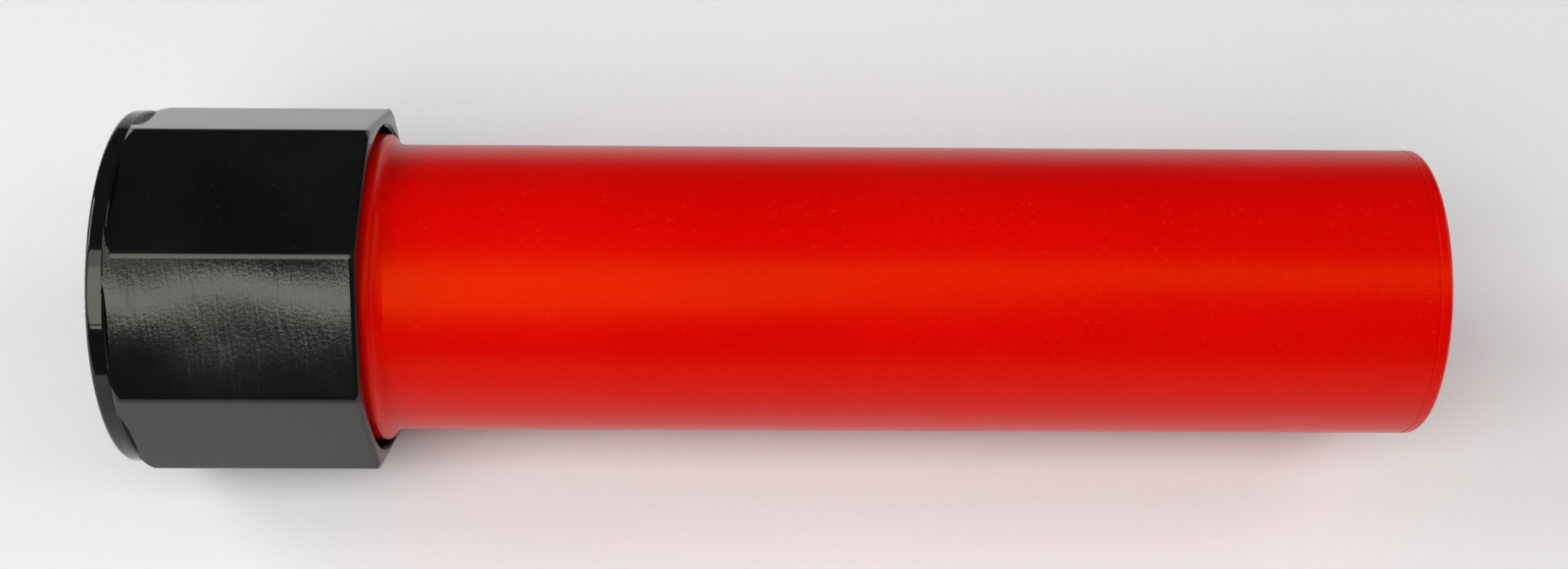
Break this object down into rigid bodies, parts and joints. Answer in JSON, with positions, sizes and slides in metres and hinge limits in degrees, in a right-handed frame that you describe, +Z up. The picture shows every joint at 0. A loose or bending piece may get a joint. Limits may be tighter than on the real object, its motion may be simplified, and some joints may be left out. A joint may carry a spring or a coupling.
{
  "type": "twist-up marking crayon holder",
  "caption": "Twist-up marking crayon: octagonal turning base, lead screw, guide barrel with carrier and wax crayon, under a long closed push-on cover.",
  "frame": {"origin": "centre of the bounding box in plan, on the floor plane that the round rim of the base touches, with one flat of the base facing it", "axes": "+X along the object's axis from the closed end of the base to the closed end of the cover, +Z up"},
  "size_m": [0.12, 0.0328, 0.0329],
  "materials": {
    "base_black": "moulded black plastic, satin to gloss",
    "barrel_black": "moulded black plastic, matt",
    "natural_plastic": "uncoloured moulded plastic",
    "crayon_wax": "waxy red marking compound",
    "cover_red": "moulded red plastic, fine satin grain"
  },
  "bodies": {
    "base": {"twist_base": "base_black", "lead_screw": "natural_plastic"},
    "sleeve": {"barrel": "barrel_black"},
    "feed": {"carrier": "natural_plastic", "crayon": "crayon_wax"},
    "cover": {"cover": "cover_red"}
  },
  "joints": [
    {"name": "turn", "type": "hinge", "parent": "base", "child": "sleeve", "pos_m": [-0.04, 0, 0.01645], "axis": [1, 0, 0], "range_deg": [0, 2880]},
    {"name": "crayon_feed", "type": "slide", "parent": "sleeve", "child": "feed", "axis": [1, 0, 0], "range_m": [0, 0.04]},
    {"name": "cover_pull", "type": "slide", "parent": "sleeve", "child": "cover", "axis": [1, 0, 0], "range_m": [0, 0.11]}
  ],
  "couplings": [
    {"joint": "crayon_feed", "follows": "turn", "m_per_rad": 0.00079577}
  ]
}
